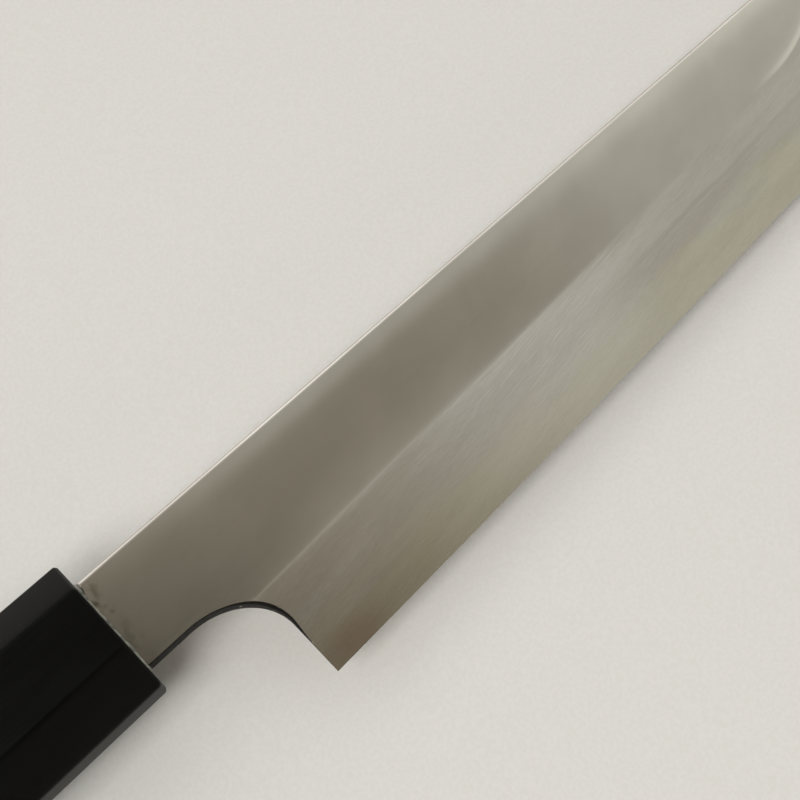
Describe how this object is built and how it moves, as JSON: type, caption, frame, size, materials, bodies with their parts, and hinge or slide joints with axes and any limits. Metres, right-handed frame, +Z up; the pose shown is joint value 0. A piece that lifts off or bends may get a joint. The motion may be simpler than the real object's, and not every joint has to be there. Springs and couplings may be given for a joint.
{
  "type": "takohiki knife",
  "caption": "Single-bevel Japanese slicing knife with a straight back, square tip, curved notch behind the heel and a tapered black octagonal handle with a horn ferrule.",
  "frame": {"origin": "under the middle of the knife's box, level with the lowest face of the handle, the knife lying on its flat back", "axes": "+X along the knife towards the tip, +Y across the blade towards the spine, +Z up, out of the bevelled front face"},
  "size_m": [0.443, 0.0374, 0.0202],
  "materials": {
    "soft_iron": "polished flat face, hazy stone-finished bevel",
    "hard_steel": "fine stone finish, brighter than the iron",
    "sealant": "set by hand, uneven, waxy gloss",
    "horn": "satin polished black horn",
    "ebony": "oiled satin, straight fine grain",
    "magnolia": "raw turned wood"
  },
  "bodies": {
    "root": {"soft_iron_blade": "soft_iron", "hard_steel_edge": "hard_steel", "tang_mouth_seal": "sealant", "horn_ferrule": "horn", "handle_body": "ebony", "tang_core": "magnolia"}
  },
  "joints": []
}
